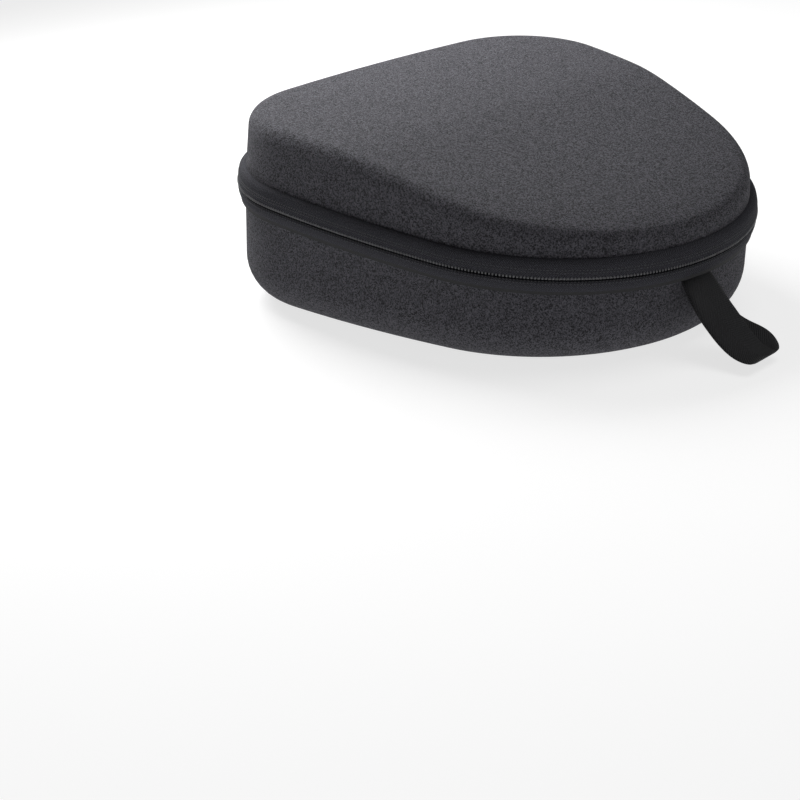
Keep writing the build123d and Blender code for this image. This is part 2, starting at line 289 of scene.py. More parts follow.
def tub(name, inset, top, floor, rounding, draft, step=0.0025):
    """The cloth of the base or its lining: drafted wall from top, rounded bottom edge and flat floor."""
    columns = []
    for heading, walked in rim_walk(0.0, 360.0, step)[:-1]:
        centre, radius = plan_arc(heading)
        normal = heading_normal(heading)
        rise = normal.y * math.tan(parting_slope)
        depth = base_first_guess
        for _ in range(base_settling):
            width = inset - depth * math.tan(draft)
            along = centre.y + (radius - width) * normal.y
            depth = (floor - zip_height - along * math.sin(parting_slope)) / math.cos(parting_slope)
        corner = Vector((width, depth))
        climb = Vector((-math.tan(draft), 1.0))
        arc = rounded_corner(corner, climb, Vector((1.0, rise)), rounding, edge_steps)
        wall_start = Vector((inset - top * math.tan(draft), top))
        wall = [wall_start.lerp(arc[0], share / base_wall_steps) for share in range(base_wall_steps)]
        profile = wall + arc
        lengths = run_lengths(profile[::-1])
        foot = centre + normal * (radius - profile[-1].x)
        points = [rim_place(heading, p.x, p.y) for p in profile]
        flat = [foot + normal * away for away in reversed(lengths)]
        columns.append((points, flat, foot))
    rows = level_rows(columns, 0)
    cloth = level_rows(columns, 1)
    floor_edge = rows[-1]
    for share in floor_rings:
        rows.append([Vector((p.x * share, p.y * share, floor)) for p in floor_edge])
        cloth.append([column[2] * share for column in columns])
    return cloth_surface(name, rows, cloth, True, capped=True)


crease_depth = 0.0101
tucked_under = 0.0024
base_inset = 0.0040
base_round = 0.021
base_draft = math.radians(1.0)
base_cloth = tub(
    "base_cloth", base_inset, -crease_depth + tucked_under, 0.0, base_round, base_draft
)
face_outwards(base_cloth)


def new_weave(name, **settings):
    """A node group with its settings, numbers or colours, that gives a Color and a Height."""
    group = bpy.data.node_groups.new(name, "ShaderNodeTree")
    for label, value in settings.items():
        kind = "NodeSocketColor" if isinstance(value, tuple) else "NodeSocketFloat"
        group.interface.new_socket(label, in_out="INPUT", socket_type=kind).default_value = value
    group.interface.new_socket("Color", in_out="OUTPUT", socket_type="NodeSocketColor")
    group.interface.new_socket("Height", in_out="OUTPUT", socket_type="NodeSocketFloat")
    return group, group.nodes.new("NodeGroupInput").outputs, group.nodes.new("NodeGroupOutput").inputs


def feed(tree, value, socket):
    """Joins a socket to an input, or sets the input to a number, vector or colour."""
    if isinstance(value, bpy.types.NodeSocket):
        tree.links.new(value, socket)
    else:
        socket.default_value = value


def calc(tree, operation, *values):
    """A Math node on sockets or numbers, and its result."""
    node = tree.nodes.new("ShaderNodeMath")
    node.operation = operation
    for value, socket in zip(values, node.inputs):
        feed(tree, value, socket)
    return node.outputs["Value"]


def pair(tree, x, y):
    """A vector made of two sockets or numbers."""
    node = tree.nodes.new("ShaderNodeCombineXYZ")
    feed(tree, x, node.inputs["X"])
    feed(tree, y, node.inputs["Y"])
    return node.outputs["Vector"]


def mottle(tree, vector, scale, detail):
    """A noise pattern over a vector, as one number from about 0.2 to 0.8."""
    node = tree.nodes.new("ShaderNodeTexNoise")
    node.noise_dimensions = "2D"
    feed(tree, vector, node.inputs["Vector"])
    node.inputs["Scale"].default_value = scale
    node.inputs["Detail"].default_value = detail
    node.inputs["Roughness"].default_value = 0.6
    return node.outputs["Fac"]


def spread(tree, value, low, high, to_low, to_high):
    """Maps a number from one range to another and clips it there."""
    node = tree.nodes.new("ShaderNodeMapRange")
    feed(tree, value, node.inputs["Value"])
    for label, number in (("From Min", low), ("From Max", high), ("To Min", to_low), ("To Max", to_high)):
        feed(tree, number, node.inputs[label])
    return node.outputs["Result"]


def tint(tree, share, first, second):
    """Mixes two colours by a share."""
    node = tree.nodes.new("ShaderNodeMix")
    node.data_type = "RGBA"
    feed(tree, share, node.inputs["Factor"])
    feed(tree, first, node.inputs["A"])
    feed(tree, second, node.inputs["B"])
    return node.outputs["Result"]


def cloth_axes(tree, thread):
    """The two directions of the flat cloth, counted in threads."""
    flat = tree.nodes.new("ShaderNodeTexCoord")
    axes = tree.nodes.new("ShaderNodeSeparateXYZ")
    tree.links.new(flat.outputs["UV"], axes.inputs["Vector"])
    return calc(tree, "DIVIDE", axes.outputs["X"], thread), calc(tree, "DIVIDE", axes.outputs["Y"], thread)


def build_melange():
    """Plain weave of two-tone slub yarns: pale and dark fibre lengths come and go along each thread."""
    group, given, made = new_weave(
        "melange_weave", Thread=0.0005, Dark=(0.02, 0.02, 0.02, 1.0), Pale=(0.2, 0.2, 0.2, 1.0)
    )
    warp, weft = cloth_axes(group, given["Thread"])
    run = group.nodes.new("ShaderNodeMix")
    for socket, warp_scale, weft_scale in (("A", 1.1, 0.08), ("B", 0.08, 1.1)):
        across = calc(group, "MULTIPLY", warp, warp_scale)
        along = calc(group, "MULTIPLY", weft, weft_scale)
        feed(group, mottle(group, pair(group, across, along), 1.0, 1.0), run.inputs[socket])
    warp_wave = calc(group, "SINE", calc(group, "MULTIPLY", warp, math.pi))
    weft_wave = calc(group, "SINE", calc(group, "MULTIPLY", weft, math.pi))
    crossing = calc(group, "MULTIPLY", warp_wave, weft_wave)
    feed(group, spread(group, crossing, -0.3, 0.3, 0.0, 1.0), run.inputs["Factor"])
    speck = group.nodes.new("ShaderNodeTexWhiteNoise")
    speck.noise_dimensions = "2D"
    thread_cell = pair(group, calc(group, "FLOOR", warp), calc(group, "FLOOR", weft))
    feed(group, thread_cell, speck.inputs["Vector"])
    run_part = calc(group, "MULTIPLY", run.outputs["Result"], 0.4)
    mixed = calc(group, "MULTIPLY_ADD", speck.outputs["Value"], 0.6, run_part)
    fibre = spread(group, mixed, 0.20, 0.88, 0.0, 1.0)
    group.links.new(tint(group, fibre, given["Dark"], given["Pale"]), made["Color"])
    fibre_part = calc(group, "MULTIPLY", fibre, 0.4)
    height = calc(group, "MULTIPLY_ADD", calc(group, "ABSOLUTE", crossing), 0.6, fibre_part)
    group.links.new(height, made["Height"])
    return group


melange_weave = build_melange()


def new_material(name, roughness):
    """A material, its node tree and its shader."""
    material = bpy.data.materials.new(name)
    material.use_nodes = True
    shader = material.node_tree.nodes["Principled BSDF"]
    shader.inputs["Roughness"].default_value = roughness
    return material, material.node_tree, shader


def raise_relief(tree, height, depth, shader):
    """Feeds a height pattern to the shader as relief, depth in metres."""
    bump = tree.nodes.new("ShaderNodeBump")
    bump.inputs["Distance"].default_value = depth
    bump.inputs["Strength"].default_value = 0.8
    tree.links.new(height, bump.inputs["Height"])
    tree.links.new(bump.outputs["Normal"], shader.inputs["Normal"])


def lay_weave(tree, shader, group, relief, **values):
    """Gives a material the colour and the relief of a weave, with values of its own."""
    node = tree.nodes.new("ShaderNodeGroup")
    node.node_tree = group
    for label, value in values.items():
        feed(tree, value, node.inputs[label])
    tree.links.new(node.outputs["Color"], shader.inputs["Base Color"])
    raise_relief(tree, node.outputs["Height"], relief, shader)


melange_cloth, tree, shader = new_material("melange_cloth", 0.9)
lay_weave(
    tree, shader, melange_weave, 0.0005,
    Thread=0.0005, Dark=(0.006, 0.0058, 0.0076, 1.0), Pale=(0.142, 0.139, 0.161, 1.0),
)
shader.inputs["Specular IOR Level"].default_value = 0.2
shader.inputs["Sheen Weight"].default_value = 0.05
shader.inputs["Sheen Roughness"].default_value = 0.5


def dress(piece, material, body, slot_name, *replaced):
    """Gives a piece its material and body, and the CAD nodes that it stands for."""
    piece.data.materials.clear()
    piece.data.materials.append(material)
    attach(piece, body)
    if replaced:
        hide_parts(*replaced)


dress(base_cloth, melange_cloth, "base", "melange_cloth", "base_cover")

# Lid cover: the same cloth, heat-moulded with the foam of the lid. It stands high over the ear cups, turns
# in over a rounded top edge and falls to a low nose.
lid_inset = 0.0040
lid_start = 0.0070
lid_draft = math.radians(3.0)
lid_round = 0.0075
crown_points = ((0.024, 0.0355, 0.0), (0.002, 0.0340, 0.125), (-0.11493, 0.0182, 0.145))
crown_fall = 0.30
nose_overrun = 1.3


def crown(along, drop=0.0):
    """Height of the lid's top over the plane of the zip, by the place along the case."""
    back, band, nose = crown_points
    if along >= back[0]:
        return back[1] - crown_fall * (along - back[0]) ** 2 - drop
    first, last = (back, band) if along > band[0] else (band, nose)
    span = first[0] - last[0]
    t = min((first[0] - along) / span, nose_overrun)
    leave = -first[2] * span
    arrive = -last[2] * span
    height = (2 * t ** 3 - 3 * t ** 2 + 1) * first[1] + (t ** 3 - 2 * t ** 2 + t) * leave
    return height + (-2 * t ** 3 + 3 * t ** 2) * last[1] + (t ** 3 - t ** 2) * arrive - drop


brow_least = 0.0008
brow_growth = 0.0026
brow_run = 0.10
brow_power = 6


def brow(along):
    """How far the crown dips towards the top edge: little over the ear cups, more round the nose."""
    share = min(max((crown_points[0][0] - along) / brow_run, 0.0), 1.0)
    return brow_least + brow_growth * share * share * (3 - 2 * share)


lid_wall_steps = 8
lid_first_guess = 0.03
lid_settling = 6
slope_reach = 0.001
crown_rings = 36


def shell_lid(name, inset, bottom, drop, rounding, draft, step=0.0025):
    """The cloth of the lid or its lining: drafted wall, rounded top edge and the crown."""
    columns = []
    for heading, walked in rim_walk(0.0, 360.0, step)[:-1]:
        centre, radius = plan_arc(heading)
        normal = heading_normal(heading)
        height = lid_first_guess
        for _ in range(lid_settling):
            width = inset + height * math.tan(draft)
            along = centre.y + (radius - width) * normal.y
            height = crown(along, drop) - brow(along)
        rise = crown(along + slope_reach, drop) - crown(along - slope_reach, drop)
        slope = rise / (2 * slope_reach)
        fall = Vector((-math.tan(draft), -1.0))
        reach = (centre + normal * (radius - width)).length
        inwards = Vector((1.0, -slope * normal.y + brow_power * brow(along) / reach))
        arc = rounded_corner(Vector((width, height)), fall, inwards, rounding, edge_steps)
        wall_start = Vector((inset + bottom * math.tan(draft), bottom))
        wall = [wall_start.lerp(arc[0], share / lid_wall_steps) for share in range(lid_wall_steps)]
        profile = wall + arc
        lengths = run_lengths(profile[::-1])
        foot = centre + normal * (radius - profile[-1].x)
        points = [rim_place(heading, p.x, p.y) for p in profile]
        flat = [foot + normal * away for away in reversed(lengths)]
        columns.append((points, flat, foot, profile[-1].y - crown(foot.y, drop)))
    rows = level_rows(columns, 0)
    cloth = level_rows(columns, 1)
    for ring in range(1, crown_rings):
        share = 1.0 - ring / crown_rings
        top = []
        for points, flat, foot, lift in columns:
            place = foot * share
            over = crown(place.y, drop) + lift * share ** brow_power
            top.append(zip_place(place.x, place.y, over))
        rows.append(top)
        cloth.append([column[2] * share for column in columns])
    return cloth_surface(name, rows, cloth, True, capped=True)


lid_cloth = shell_lid("lid_cloth", lid_inset, lid_start, 0.0, lid_round, lid_draft)
face_outwards(lid_cloth)
dress(lid_cloth, melange_cloth, "lid", "melange_cloth", "lid_cover")

# Zip tapes: woven polyester with a herringbone face, folded over the coil and sewn round the foam rim of
# each half. Each stands out from the cloth as half of a rounded belt.
tape_face = [
    (0.0030, -0.0006), (0.0014, -0.0006), (0.0008, -0.0005), (0.00062, 0.0), (0.00060, 0.0010),
    (0.00066, 0.0024), (0.00074, 0.0034), (0.00084, 0.0046),
]
lid_tape_profile = tape_face + [
    (0.0011, 0.0056), (0.0016, 0.0064), (0.0023, 0.0070), (0.0031, 0.0074), (0.0040, 0.0075),
    (0.0048, 0.0074),
]
base_tape_profile = [
    (0.0030, 0.0022), (0.0016, 0.0022), (0.0009, 0.0024), (0.00070, 0.0028), (0.00068, 0.0036),
    (0.00080, 0.0048), (0.0011, 0.0058), (0.0016, 0.0070), (0.0023, 0.0079), (0.0031, 0.0086),
    (0.0040, 0.0091), (0.0049, 0.0093),
]
spine_reach = 0.0542
lid_tape_reach = 0.0775
heading_step = 0.02


def heading_at(reach):
    """Heading where the outline of the wide end comes to a given distance from the middle."""
    heading = 180.0
    while rim_place(heading, 0.0, 0.0).x < reach:
        heading -= heading_step
    return heading


def rim_band(name, profile, start, end, step=0.0025):
    """A band round the rim from heading start to end; profile gives inset and height across it."""
    walk = rim_walk(start, end, step)
    rows = []
    cloth = []
    across = 0.0
    for index, (inset, over) in enumerate(profile):
        if index:
            across += math.hypot(inset - profile[index - 1][0], over - profile[index - 1][1])
        rows.append([rim_place(heading, inset, over) for heading, walked in walk])
        cloth.append([(walked, across) for heading, walked in walk])
    return cloth_surface(name, rows, cloth, False)


def build_herringbone():
    """Fine twill lines that turn back and forth across a woven tape."""
    group, given, made = new_weave(
        "herringbone_tape",
        Pitch=0.0007, Stripe=0.003, Dark=(0.01, 0.01, 0.01, 1.0), Pale=(0.04, 0.04, 0.04, 1.0),
    )
    along, across = cloth_axes(group, 1.0)
    zigzag = calc(group, "PINGPONG", across, given["Stripe"])
    line = calc(group, "DIVIDE", calc(group, "ADD", along, zigzag), given["Pitch"])
    twill = calc(group, "SINE", calc(group, "MULTIPLY", line, 2 * math.pi))
    fuzz = mottle(group, pair(group, along, across), 2200.0, 2.0)
    line_tone = spread(group, twill, -1.0, 1.0, 0.35, 1.0)
    value = calc(group, "MULTIPLY", line_tone, spread(group, fuzz, 0.35, 0.65, 0.2, 1.0))
    group.links.new(tint(group, value, given["Dark"], given["Pale"]), made["Color"])
    group.links.new(spread(group, twill, -1.0, 1.0, 0.0, 1.0), made["Height"])
    return group


herringbone_tape = build_herringbone()
zip_tape_cloth, tree, shader = new_material("zip_tape_cloth", 0.9)
lay_weave(
    tree, shader, herringbone_tape, 0.00018,
    Pitch=0.0011, Stripe=0.0030, Dark=(0.003, 0.003, 0.004, 1.0), Pale=(0.085, 0.085, 0.100, 1.0),
)
shader.inputs["Specular IOR Level"].default_value = 0.12

base_end = heading_at(spine_reach)
lid_end = heading_at(lid_tape_reach)
base_tape = rim_band("base_tape", [(inset, -over) for inset, over in base_tape_profile], -base_end, base_end)
face_outwards(base_tape)
dress(base_tape, zip_tape_cloth, "base", "zip_tape", "base_zip_tape")
lid_tape = rim_band("lid_tape", lid_tape_profile, -lid_end, lid_end)
face_outwards(lid_tape)
dress(lid_tape, zip_tape_cloth, "lid", "zip_tape", "lid_zip_tape")

# Zip coil: two nylon coils sewn behind the folded tape edges. Their turns show as a row of small beads
# across the gap, and lock into each other half a turn apart.
coil_pitch = 0.0016
lid_coil_line = (0.00055, -0.00055)
lid_bead = (0.00036, 0.00075, 0.00048)
base_coil_line = (0.0020, -0.0013)
base_bead = (0.00042, 0.00070, 0.0004)
base_coil_end = 8.0
bead_rings = 3
bead_sides = 6


def bead_row(name, places, half_size):
    """Small rounded beads joined as one piece; places are (centre, along, up, out)."""
    points = []
    faces = []
    long, tall, deep = half_size
    for centre, along, up, out in places:
        first = len(points)
        points.append(centre - along * long)
        for ring in range(1, bead_rings + 1):
            lean = math.pi * ring / (bead_rings + 1)
            for side in range(bead_sides):
                turn = 2 * math.pi * side / bead_sides
                offset = up * (tall * math.cos(turn)) + out * (deep * math.sin(turn))
                points.append(centre - along * (long * math.cos(lean)) + offset * math.sin(lean))
        points.append(centre + along * long)
        last = len(points) - 1
        for side in range(bead_sides):
            after = (side + 1) % bead_sides
            faces.append((first, first + 1 + after, first + 1 + side))
            for ring in range(bead_rings - 1):
                low = first + 1 + ring * bead_sides
                faces.append((low + side, low + after, low + bead_sides + after, low + bead_sides + side))
            faces.append((last - bead_sides + side, last - bead_sides + after, last))
    mesh = bpy.data.meshes.new(name)
    mesh.from_pydata(points, [], faces)
    mesh.polygons.foreach_set("use_smooth", [True] * len(mesh.polygons))
    return place_object(name, mesh)


def rim_places(start, end, pitch, inset, over, phase=0.0):
    """Evenly spaced places along the rim, each with its directions along, up and out."""
    up = zip_place(0.0, 0.0, 1.0) - zip_place(0.0, 0.0, 0.0)
    places = []
    for heading, walked in rim_walk(start + math.degrees(phase * pitch / nose_radius), end, pitch)[:-1]:
        centre = rim_place(heading, inset, over)
        out = (rim_place(heading, inset - 0.001, over) - centre).normalized()
        places.append((centre, up.cross(out), up, out))
    return places


def solid_pattern(tree, kind, scale, output):
    """A pattern through the solid, read where each point of the surface lies."""
    place = tree.nodes.new("ShaderNodeNewGeometry")
    pattern = tree.nodes.new(kind)
    pattern.inputs["Scale"].default_value = scale
    tree.links.new(place.outputs["Position"], pattern.inputs["Vector"])
    return pattern.outputs[output]


def paint(tree, shader, share, first, second):
    """Colours a material between two tones by a share."""
    tree.links.new(tint(tree, share, first, second), shader.inputs["Base Color"])


coil_nylon, tree, shader = new_material("coil_nylon", 0.35)
nylon_shade = solid_pattern(tree, "ShaderNodeTexNoise", 400.0, "Fac")
paint(tree, shader, nylon_shade, (0.07, 0.07, 0.075, 1.0), (0.19, 0.19, 0.20, 1.0))
tree.links.new(spread(tree, nylon_shade, 0.3, 0.7, 0.25, 0.45), shader.inputs["Roughness"])

lid_turns = rim_places(-lid_end, lid_end, coil_pitch, *lid_coil_line)
lid_coil = bead_row("lid_coil", lid_turns, lid_bead)
dress(lid_coil, coil_nylon, "lid", "zip_coil", "lid_zip_coil")
base_coil_heading = base_end - base_coil_end
base_turns = rim_places(-base_coil_heading, base_coil_heading, coil_pitch, *base_coil_line, phase=0.5)
base_coil = bead_row("base_coil", base_turns, base_bead)
dress(base_coil, coil_nylon, "base", "zip_coil", "base_zip_coil")

# Zip stitching: polyester thread. Two needle rows hold the coil to each tape, half a stitch apart,
# and each shows as a dotted line along the belt.
tape_thread, tree, shader = new_material("tape_thread", 0.6)
thread_fuzz = solid_pattern(tree, "ShaderNodeTexNoise", 1500.0, "Fac")
paint(tree, shader, thread_fuzz, (0.018, 0.018, 0.021, 1.0), (0.060, 0.060, 0.068, 1.0))
raise_relief(tree, thread_fuzz, 0.00005, shader)
stitch_size = (0.00046, 0.00026, 0.00020)
stitch_lines = ((0.00062, 0.0021), (0.00070, 0.0033))
for body, side, end in (("lid", 1, lid_end), ("base", -1, base_end)):
    for row, (inset, over) in enumerate(stitch_lines):
        places = rim_places(-end, end, coil_pitch, inset, side * over, row / 2)
        stitches = bead_row(f"{body}_tape_stitches_{row}", places, stitch_size)
        dress(stitches, tape_thread, body, "zip_tape")

# Spine: a band of plain black cloth across the flat wide end, glued and sewn to both halves. It is the hinge
# of the case.
spine_profile = [
    (0.0048, 0.0076), (0.0030, 0.0075), (0.0018, 0.0070), (0.0009, 0.0060), (0.0005, 0.0045),
    (0.0004, 0.0030), (0.0004, 0.0020), (0.0005, 0.0012), (0.0007, 0.0005), (0.0008, 0.0),
    (0.0007, -0.0005), (0.0005, -0.0012), (0.0004, -0.0020), (0.0004, -0.0030), (0.0005, -0.0050),
    (0.0006, -0.0075), (0.0010, -0.0090), (0.0018, -0.0100), (0.0030, -0.0106), (0.0048, -0.0107),
]
spine_step = 0.002
spine_start = heading_at(spine_reach)
spine_cloth = rim_band("spine_cloth", spine_profile, spine_start, 360.0 - spine_start, spine_step)
face_outwards(spine_cloth)
spine_black, tree, shader = new_material("spine_black", 0.85)
lay_weave(
    tree, shader, melange_weave, 0.0001,
    Thread=0.00045, Dark=(0.010, 0.010, 0.011, 1.0), Pale=(0.040, 0.040, 0.044, 1.0),
)
spine_cloth.data.materials.append(spine_black)
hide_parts("spine_band_base", "spine_band_lid")
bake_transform(spine_cloth)

# Metal of the zip: brass, polished and plated in rose gold. The slider, the ring and tab of its pull and
# the two end stops all have it.
rose_gold, tree, shader = new_material("rose_gold", 0.25)
metal_cloud = solid_pattern(tree, "ShaderNodeTexNoise", 350.0, "Fac")
metal_cloud.node.inputs["Detail"].default_value = 4.0
shader.inputs["Metallic"].default_value = 1.0
paint(tree, shader, metal_cloud, (0.78, 0.52, 0.42, 1.0), (0.90, 0.64, 0.52, 1.0))
tree.links.new(spread(tree, metal_cloud, 0.3, 0.7, 0.18, 0.34), shader.inputs["Roughness"])
raise_relief(tree, metal_cloud, 0.00002, shader)
for name in ("zip_end_stops", "pull_ring", "pull_tab"):
    nodes[name].data.materials.clear()
    nodes[name].data.materials.append(rose_gold)

# Slider: a flanged front plate over the chain, a back plate behind the tapes, a web between them, and an
# arched bridge that holds the pull's ring.
slider_heading = 192.5
plate_half = (0.0055, 0.0043)
front_level = 0.0001
plate_thick = 0.0012
plate_crowning = 0.0004
plate_sides = 28
corner_power = 0.6
edge_drop = 0.00035
back_half = (0.0040, 0.0031)
back_levels = (-0.0038, -0.0030)
seat_level = front_level + 0.0002
web_low = (-0.0012, -0.00015, -0.0031)
web_high = (0.0012, 0.00015, seat_level)
lip_starts = (-0.0040, 0.0036)
lip_width = 0.0004
lip_half_length = 0.0040
lip_back = -0.0005
bridge_half_width = 0.0012
bridge_span = 0.0032
bridge_rise = 0.0036
bridge_thick = 0.0008
bridge_steps = 20
bridge_drop = 0.0012
bridge_sink = 0.0001
slider_out = (rim_place(slider_heading, -0.001, 0.0) - rim_place(slider_heading, 0.0, 0.0)).normalized()
slider_up = (zip_place(0.0, 0.0, 1.0) - zip_place(0.0, 0.0, 0.0)).normalized()
slider_along = slider_up.cross(slider_out)
slider_foot = rim_place(slider_heading, 0.0, 0.0)


def slider_place(along, up, out):
    """A place on the slider, from the middle of its chain."""
    return slider_foot + slider_along * along + slider_up * up + slider_out * out


def soft_plate(form, half_along, half_up, low, high, crowning):
    """A plate with a rounded outline, thicker in its middle by crowning."""
    rings = [
        (0.05, high + crowning), (0.55, high + crowning * 0.7), (0.86, high),
        (1.0, high - edge_drop), (1.0, low), (0.05, low),
    ]
    loops = []
    for share, level in rings:
        loop = []
        for side in range(plate_sides):
            turn = 2 * math.pi * side / plate_sides
            x = math.copysign(abs(math.cos(turn)) ** corner_power, math.cos(turn)) * half_along * share
            y = math.copysign(abs(math.sin(turn)) ** corner_power, math.sin(turn)) * half_up * share
            loop.append(form.verts.new(slider_place(x, y, level)))
        loops.append(loop)
    for upper, lower in zip(loops, loops[1:]):
        for side in range(plate_sides):
            after = (side + 1) % plate_sides
            form.faces.new((upper[side], upper[after], lower[after], lower[side]))
    form.faces.new(loops[0])
    form.faces.new(reversed(loops[-1]))


def block(form, low, high):
    """A plain bar of the slider between two corners."""
    corners = [
        form.verts.new(slider_place(x, y, z))
        for x in (low[0], high[0]) for y in (low[1], high[1]) for z in (low[2], high[2])
    ]
    for face in ((0, 1, 3, 2), (4, 6, 7, 5), (0, 4, 5, 1), (2, 3, 7, 6), (0, 2, 6, 4), (1, 5, 7, 3)):
        form.faces.new([corners[corner] for corner in face])


def arch(form, half_width, span, rise, thickness, foot):
    """The bridge: a strap bent to half an ellipse, from one side of the plate to the other."""
    section = ((0.0, -half_width), (0.0, half_width), (thickness, half_width), (thickness, -half_width))
    loops = []
    for step in range(bridge_steps + 1):
        turn = math.pi * step / bridge_steps
        ring = []
        for grow, x in section:
            up = math.cos(turn) * (span + grow)
            out = foot + math.sin(turn) * (rise + grow)
            ring.append(form.verts.new(slider_place(x, up, out)))
        loops.append(ring)
    for first, second in zip(loops, loops[1:]):
        for side in range(4):
            after = (side + 1) % 4
            form.faces.new((first[side], first[after], second[after], second[side]))
    form.faces.new(reversed(loops[0]))
    form.faces.new(loops[-1])


form = bmesh.new()
soft_plate(form, *plate_half, front_level, front_level + plate_thick, plate_crowning)
soft_plate(form, *back_half, *back_levels, 0.0)
block(form, web_low, web_high)
for lip in lip_starts:
    block(form, (-lip_half_length, lip, lip_back), (lip_half_length, lip + lip_width, seat_level))
bridge_foot = front_level + plate_thick - bridge_sink
bridge_inside = (bridge_span - bridge_thick, bridge_rise - bridge_drop)
arch(form, bridge_half_width, *bridge_inside, bridge_thick, bridge_foot)
bmesh.ops.recalc_face_normals(form, faces=form.faces)
slider_mesh = bpy.data.meshes.new("slider")
form.to_mesh(slider_mesh)
form.free()
slider_mesh.polygons.foreach_set("use_smooth", [True] * len(slider_mesh.polygons))
slider = place_object("slider", slider_mesh)
soft_edges = slider.modifiers.new("soft_edges", "BEVEL")
soft_edges.width = 0.0002
soft_edges.segments = 2
soft_edges.limit_method = "ANGLE"
soft_edges.harden_normals = True
dress(slider, rose_gold, "slider", "rose_gold", "slider_body")

# Carrying loop: one length of ribbed webbing. Both ends are sewn in under the belt at the nose, and the
# loop hangs out and down, its back leg splayed to the right of the front one.
left_edge = [
    (-0.0080, -0.1085, 0.0350), (-0.0092, -0.1133, 0.0325), (-0.0100, -0.1198, 0.0246),
    (-0.0100, -0.1242, 0.0183), (-0.0100, -0.1301, 0.0131), (-0.0100, -0.1373, 0.0085),
    (-0.0098, -0.1434, 0.0062), (-0.0092, -0.1485, 0.0055), (-0.0084, -0.1509, 0.0056),
    (-0.0068, -0.1512, 0.0052), (-0.0030, -0.1478, 0.0038), (-0.0008, -0.1425, 0.0026),
    (0.0000, -0.1360, 0.0024), (-0.0010, -0.1275, 0.0055), (-0.0035, -0.1200, 0.0125),
    (-0.0070, -0.1135, 0.0245), (-0.0080, -0.1095, 0.0335),
]
right_edge = [
    (0.0085, -0.1080, 0.0375), (0.0096, -0.1112, 0.0345), (0.0100, -0.1165, 0.0290),
    (0.0100, -0.1218, 0.0238), (0.0100, -0.1270, 0.0196), (0.0100, -0.1320, 0.0152),
    (0.0101, -0.1378, 0.0101), (0.0104, -0.1430, 0.0072), (0.0120, -0.1474, 0.0055),
    (0.0156, -0.1476, 0.0050), (0.0184, -0.1445, 0.0068), (0.0190, -0.1395, 0.0104),
    (0.0185, -0.1330, 0.0122), (0.0180, -0.1240, 0.0130), (0.0145, -0.1165, 0.0190),
    (0.0095, -0.1110, 0.0290), (0.0080, -0.1090, 0.0345),
]
webbing_half_thick = 0.0006
webbing_width = 0.020
selvedge_power = 8
selvedge_thinning = 0.75


def smooth_edge(points, steps):
    """Even points along a smooth curve through given ones."""
    curve = bpy.data.curves.new("edge", "CURVE")
    curve.dimensions = "3D"
    spline = curve.splines.new("NURBS")
    spline.points.add(len(points) - 1)
    for control, place in zip(spline.points, points):
        control.co = (*place, 1.0)
    spline.order_u = 4
    spline.use_endpoint_u = True
    spline.resolution_u = 24
    holder = bpy.data.objects.new("edge", curve)
    line = bpy.data.meshes.new_from_object(holder)
    path = [vertex.co.copy() for vertex in line.vertices]
    bpy.data.objects.remove(holder)
    lengths = run_lengths(path)
    even = []
    at = 0
    for step in range(steps + 1):
        goal = lengths[-1] * step / steps
        while at < len(path) - 2 and lengths[at + 1] < goal:
            at += 1
        run = max(lengths[at + 1] - lengths[at], 1e-9)
        even.append(path[at].lerp(path[at + 1], min((goal - lengths[at]) / run, 1.0)))
    return even, lengths[-1]


loop_steps = 110
strap_cells = 14
left_points, left_length = smooth_edge(left_edge, loop_steps)
right_points, right_length = smooth_edge(right_edge, loop_steps)
loop_length = (left_length + right_length) / 2
front_rows = []
back_rows = []
loop_cloth = []
for step in range(loop_steps + 1):
    left = left_points[step]
    right = right_points[step]
    before = (left_points[max(step - 1, 0)] + right_points[max(step - 1, 0)]) / 2
    after = (left_points[min(step + 1, loop_steps)] + right_points[min(step + 1, loop_steps)]) / 2
    face = (right - left).cross(after - before).normalized()
    front = []
    back = []
    for cell in range(strap_cells + 1):
        share = cell / strap_cells
        thinning = 1.0 - (2 * share - 1) ** selvedge_power * selvedge_thinning
        middle = left.lerp(right, share)
        front.append(middle - face * webbing_half_thick * thinning)
        back.append(middle + face * webbing_half_thick * thinning)
    front_rows.append(front)
    back_rows.append(back)
    walked = loop_length * step / loop_steps
    loop_cloth.append([(walked, webbing_width * cell / strap_cells) for cell in range(strap_cells + 1)])
strap_rows = [front + back[::-1] for front, back in zip(front_rows, back_rows)]
strap_cloth = [flat + [(u, -v) for u, v in flat[::-1]] for flat in loop_cloth]
webbing_loop = cloth_surface("webbing_loop", strap_rows, strap_cloth, True)
webbing_mesh = bmesh.new()
webbing_mesh.from_mesh(webbing_loop.data)
bmesh.ops.recalc_face_normals(webbing_mesh, faces=webbing_mesh.faces)
webbing_mesh.to_mesh(webbing_loop.data)
webbing_mesh.free()

webbing_black, tree, shader = new_material("webbing_black", 0.7)
lay_weave(
    tree, shader, herringbone_tape, 0.00025,
    Pitch=0.0013, Stripe=0.0100, Dark=(0.002, 0.002, 0.0024, 1.0), Pale=(0.032, 0.032, 0.036, 1.0),
)
shader.inputs["Specular IOR Level"].default_value = 0.4
dress(webbing_loop, webbing_black, "loop", "webbing", "carry_loop")

